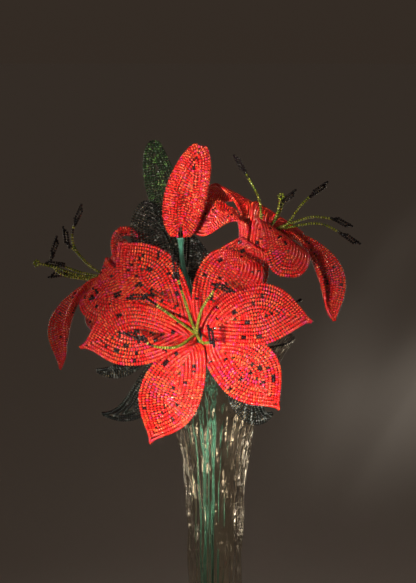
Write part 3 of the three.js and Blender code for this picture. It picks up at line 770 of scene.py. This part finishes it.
# A cup is the degrees by which the rim curls in at the root and at the tip, beside the wrap.
FLAT = (10, -12)
DEEP = (20, 5)
ROLLED = (30, 60)
WAVED = (3, 1.6)  # a ruffle's height, and its waves along the blade
TEPAL_SPOTS = 0.05  # the share of a tepal's middle beads that are dark spots
BLOOMS = {
    "front": {
        "axis": (-0.12, -0.95, 0.25),
        "tepals": [
            dict(level=0, turn=(25, -90, 268), tip=(51, -60, 250), peak=1.25, point=1.5),
            dict(level=1, turn=(7, -73, 290), tip=(25, -32, 277), peak=1.25, point=1.4),
            dict(level=2, turn=(-42, -67, 284), tip=(-52, -40, 290), peak=1.25, point=1.5),
            dict(level=0, turn=(-47, -90, 252), tip=(-72, -58, 236), peak=1.25, point=1.7, ruffle=WAVED),
            dict(level=1, turn=(-22, -90, 220), tip=(-35, -62, 185), peak=1.2, point=1.5, cup=DEEP),
            dict(level=2, turn=(18, -86, 234), tip=(34, -60, 203), peak=1.2, point=1.5),
        ],
        "stamens": [
            ([(-26, -92, 261), (-36, -98, 269)], (-44, -97, 269)),
            ([(-16, -92, 267), (-20, -98, 281)], (-21, -97, 289)),
            ([(-6, -92, 264), (1, -98, 275)], (10, -97, 270)),
            ([(-22, -92, 242), (-32, -98, 244), (-38, -100, 248)], (-45, -99, 251)),
            ([(-6, -84, 243), (-2, -92, 245)], (-3, -94, 253)),
        ],
        "pistil": None,
    },
    "left": {
        "axis": (-0.75, 0.1, 0.5),
        "tepals": [
            dict(level=0, turn=(-81, -4, 275), tip=(-86, -14, 216),
                 peak=1.6, point=1.2, cup=ROLLED, twist=25),
            dict(level=1, turn=(-83, -32, 279), tip=(-46, -29, 245), peak=1.6, point=0.9, cup=(40, -5)),
            dict(level=2, turn=(-66, -3, 296), tip=(-38, 10, 288), peak=1.5, point=1),
            dict(level=0, turn=(-78, 42, 274), tip=(-44, 54, 268), peak=1.5, point=1),
            dict(level=1, turn=(-82, 39, 254), tip=(-53, 50, 228), peak=1.5, point=1),
            dict(level=2, turn=(-64, 2, 232), tip=(-40, 4, 237), peak=1.5, point=1),
        ],
        "stamens": [
            ([(-67, -4, 271), (-78, -8, 284), (-79, -8, 292), (-77, -8, 299)], (-73, -8, 307)),
            ([(-69, 2, 271), (-78, 4, 280), (-83, 4, 285)], (-84, 4, 293)),
            ([(-74, -10, 270), (-86, -15, 275)], (-94, -15, 276)),
            ([(-72, -8, 266), (-85, -10, 269), (-91, -8, 275), (-90, -8, 281)], (-87, -8, 289)),
            ([(-73, 6, 265), (-85, 8, 267)], (-93, 8, 266)),
        ],
        "pistil": [(-75, -14, 269), (-88, -19, 274), (-97, -18, 276)],
    },
    "right": {
        "axis": (0.5, 0.1, 0.75),
        "tepals": [
            dict(level=0, turn=(32, 32, 308), tip=(48, 54, 284), peak=1.5, point=0.9),
            dict(level=2, turn=(11, -12, 313), tip=(-15, 4, 293), peak=1.5, point=0.9, twist=20),
            dict(level=1, turn=(41, -50, 307), tip=(38, -54, 273), peak=1.5, point=0.35),
            dict(level=0, turn=(54, -8, 306), tip=(66, -14, 243), peak=1.6, point=1, cup=ROLLED, twist=-25),
            dict(level=1, turn=(20, 44, 322), tip=(-9, 38, 306), peak=1.5, point=0.9, twist=10),
            dict(level=3, turn=(14, -34, 276), tip=(3, -21, 256), peak=1.4, point=1),
        ],
        "stamens": [
            ([(25, 0, 307), (20, -2, 319), (15, -4, 327)], (11, -6, 335)),
            ([(34, -1, 299), (38, -3, 309)], (43, -4, 313)),
            ([(39, -14, 297), (47, -16, 308), (54, -18, 315)], (60, -18, 319)),
            ([(44, -17, 299), (53, -21, 302), (66, -25, 301)], (73, -25, 297)),
            ([(46, -17, 297), (58, -21, 298), (71, -23, 292)], (78, -23, 287)),
        ],
        "pistil": [(33, -6, 299), (36, -8, 311)],
    },
}
BUD = {"spine": [(-19, -14, 290.1), (-19, -14, 311), (-13, -14, 322), (-8, -14, 341)], "radius": 10.9}
BUD_HEADINGS = (0, 120, 240)
LEAVES = [
    (dict(spine=[(-14.6, -6.1, 262), (-18, 22, 296), (-37, 22, 320), (-34, 14, 342)],
          side=(1, 0.2, 0), rows=5, peak=1.3, point=0.45, cup=(25, 25)), "green"),
    (dict(spine=[(-16.7, -8.1, 258), (-27, -4, 279), (-39, -4, 291), (-38, -9, 310)],
          side=(0.9, 0.3, 0.3), rows=7, peak=1.2, point=0.55, cup=(25, 15)), "black"),
    (dict(spine=[(-10, -7, 254), (-8, -6, 270), (-9, -7, 281), (-13, -7, 291)],
          side=(0.7, 0.7, 0), rows=4, peak=1, point=1, cup=(30, 20)), "black"),
    (dict(spine=[(-9.2, -26, 236), (-29, -35, 265), (-38, -48, 212), (-65, -36, 220)],
          side=(0.1, -0.6, 0.7), rows=4, peak=1.1, point=0.7, cup=(20, 20)), "black"),
    (dict(spine=[(-10, -30, 240), (-30, -43, 257), (-28, -64, 192), (-62, -36, 196)],
          side=(-0.3, -0.2, 0.9), rows=4, peak=1.1, point=1, cup=(20, 20)), "black"),
    (dict(spine=[(-4.5, -28, 237), (3, -57, 267), (11, -64, 183), (31, -52, 200)],
          side=(0.2, -0.3, 0.9), rows=5, peak=1.5, point=0.9, cup=(20, 20)), "black"),
    (dict(spine=[(7.3, 0.5, 238), (18, -8, 240), (34, -6, 246), (48, -10, 255)],
          side=(0.3, 0.8, 0), rows=4, peak=1.1, point=1, cup=(20, 20)), "black"),
]


def tepal_blade(base, axis, level, turn, tip, **shape):
    """A tepal's sheet: its root in the whorl, its throat along the bloom's axis, then its turn and tip."""
    outward = (np.array(turn, float) + tip) / 2 - base
    outward = unit(outward - axis * (outward @ axis))
    root = base + outward * (WHORL_RADIUS + WHORL_STEP * level)
    throat = root + axis * THROAT_DEPTH + outward * (THROAT_SPREAD + THROAT_SPREAD_STEP * level)
    shape = {"rows": TEPAL_ROWS, "gather": TEPAL_GATHER, "cup": FLAT, **shape}
    return Blade([root, throat, turn, tip], np.cross(outward, axis), whorl=(base, axis), **shape)


def bloom_pieces(name, axis, tepals, stamens, pistil, glasses):
    """A bloom's tepals and its stamens, each in the place of its CAD node."""
    base = np.array(STEMS[name][0], float)
    axis = unit(np.array(axis, float))
    for i, shape in enumerate(tepals, 1):
        strings = blade_strings(tepal_blade(base, axis, **shape), spots=TEPAL_SPOTS)
        tepal = bead_piece(f"{name}_tepal_{i}_beads", strings, glasses["tepal"], Seed=10 * i + len(name))
        fit(tepal, f"{name}_tepal_{i}")
    size = {f"Bead {label.title()}": length * MM for label, length in STAMEN_BEAD.items()}
    strings = stamen_strings(base, axis, stamens, pistil)
    centre = bead_piece(f"{name}_stamens_beads", strings, glasses["stamen"], **size)
    fit(centre, f"{name}_stamens")


STRUNG_BEADS = strung_beads_tree()
BEAD_COLOUR = bead_colour_group()
CRAFT_WIRE = craft_wire()
TAPE = floral_tape()
# Each glass's depth is painted shade, the dark a bead falls to towards its ends.
GLASSES = {
    "tepal": bead_glass(
        "tepal_glass", main=(0.78, 0.012, 0.01), second=(0.9, 0.14, 0.035), third=(0.76, 0.02, 0.15),
        spot=(0.006, 0.001, 0.003), depth=(0.4, 0.001, 0.001),
    ),
    # The green glass's third tint, a light green on some beads, is painted glints.
    "green": bead_glass(
        "green_glass", main=(0.004, 0.022, 0.005), second=(0.014, 0.05, 0.01), third=(0.12, 0.26, 0.06),
        spot=(0, 0, 0), depth=(0.001, 0.004, 0.001), Coat_IOR=1.4,
    ),
    # The black glass's third tint, a light grey on some beads, is painted glints.
    "black": bead_glass(
        "black_glass", main=(0.002, 0.003, 0.002), second=(0.008, 0.012, 0.008),
        third=(0.13, 0.14, 0.125), spot=(0, 0, 0), depth=(0.001, 0.001, 0.001), Coat_IOR=1.35,
    ),
    "stamen": bead_glass(
        "stamen_glass", main=(0.3, 0.34, 0.02), second=(0.65, 0.65, 0.14), third=(0.1, 0.18, 0.02),
        spot=(0.004, 0.001, 0.002), depth=(0.02, 0.03, 0.002), Coat_IOR=1.4,
    ),
}

fluted_vase(vase_glass())
for bloom_name, bloom in BLOOMS.items():
    bloom_pieces(bloom_name, **bloom, glasses=GLASSES)
    taped_stem(f"{bloom_name}_stem", STEMS[bloom_name], BLOOM_CUP, TAPE)
taped_stem("bud_stem", STEMS["bud"], BUD_CUP, TAPE)
for number, heading in enumerate(BUD_HEADINGS, 1):
    strings = blade_strings(BudPetal(**BUD, heading=heading))
    petal = bead_piece(f"bud_petal_{number}_beads", strings, GLASSES["tepal"])
    fit(petal, f"bud_petal_{number}")
for number, (shape, glass) in enumerate(LEAVES, 1):
    strings = blade_strings(Blade(**shape))
    leaf = bead_piece(f"leaf_{number}_beads", strings, GLASSES[glass], Seed=number)
    fit(leaf, f"leaf_{number}")


# ---- the studio ----
AIM = Vector((-0.004, 0, 0.258))
FLOOR_HALF = 30000
WARM = (1, 0.95, 0.87)
GOLDEN = (1, 0.88, 0.7)
CAMERA_ELEVATION = math.radians(8)
CAMERA_DISTANCE = 1.0
CAMERA_LENS = 110.27


def look_at(obj, target):
    """Turns a lamp or a camera towards a point."""
    obj.rotation_euler = (Vector(target) - obj.location).to_track_quat("-Z", "Y").to_euler()


def room_light():
    """Dim even light, which at the horizon is as bright as the far floor, so that no edge shows."""
    world = bpy.data.worlds.new("soft_room")
    world.use_nodes = True
    tree = world.node_tree
    direction = add_node(tree, "ShaderNodeTexCoord").outputs["Generated"]
    height = add_node(tree, "ShaderNodeSeparateXYZ", {0: direction}).outputs["Z"]
    rise = add_node(tree, "ShaderNodeMapRange", {
        "Value": height, "From Min": 0.0, "From Max": 0.5,
    }).outputs[0]
    colour = add_node(tree, "ShaderNodeMix", {
        0: rise, 6: (0.034, 0.0245, 0.018, 1), 7: (0.046, 0.0375, 0.0315, 1),
    }, data_type="RGBA").outputs[2]
    tree.links.new(colour, tree.nodes["Background"].inputs["Color"])
    bpy.context.scene.world = world


def area_light(name, place, size, spread, watts, colour=WARM, aim=AIM):
    """A soft box whose size is its width and height. Its light fans out by the spread's degrees."""
    light = bpy.data.lights.new(name, "AREA")
    light.shape = "RECTANGLE"
    light.size, light.size_y = size
    light.spread, light.energy, light.color = math.radians(spread), watts, colour
    lamp = bpy.data.objects.new(name, light)
    lamp.location = place
    bpy.context.collection.objects.link(lamp)
    look_at(lamp, aim)
    return lamp


def studio():
    """A wide pale floor, two soft key pools from the front, a fill, and lamps behind on both sides."""
    corners = np.array([(-1, -1, 0), (1, -1, 0), (1, 1, 0), (-1, 1, 0)]) * FLOOR_HALF
    floor = mesh_object("floor", corners, [(0, 1, 2, 3)])
    material, _, _ = new_material("pale_floor", Base_Color=(0.74, 0.67, 0.6, 1), Roughness=0.8)
    floor.data.materials.append(material)
    room_light()
    area_light("bloom_key", (-0.24, -1.2, 0.37), (0.07, 0.07), 7.8, 0.1, aim=(0.004, -0.05, 0.213))
    area_light("bud_key", (-0.24, -1.2, 0.47), (0.06, 0.06), 4.8, 0.03, aim=(-0.01, -0.02, 0.32))
    area_light("fill", (-0.3, -1.2, 0.4), (0.3, 0.3), 26, 0.08)
    for name, side in (("left", -1), ("right", 1)):
        # The strip draws the bright streaks in the vase.
        area_light(f"strip_{name}", (0.36 * side, 0.45, 0.02), (0.08, 0.4), 60, 0.085, GOLDEN)
        # The rear lamp lights the backs of the blades, and is kept out of gloss and glass.
        rear = area_light(f"rear_{name}", (0.75 * side, 0.9, 0.65), (0.25, 0.25), 30, 0.16)
        rear.visible_glossy = False
        rear.visible_transmission = False
    camera = bpy.data.objects.new("camera", bpy.data.cameras.new("camera"))
    camera.data.lens = CAMERA_LENS
    camera.data.clip_start = 0.01
    back = Vector((0, -math.cos(CAMERA_ELEVATION), math.sin(CAMERA_ELEVATION)))
    camera.location = AIM + back * CAMERA_DISTANCE
    look_at(camera, AIM)
    bpy.context.collection.objects.link(camera)
    bpy.context.scene.camera = camera
    bpy.context.scene.view_settings.view_transform = "Standard"


studio()
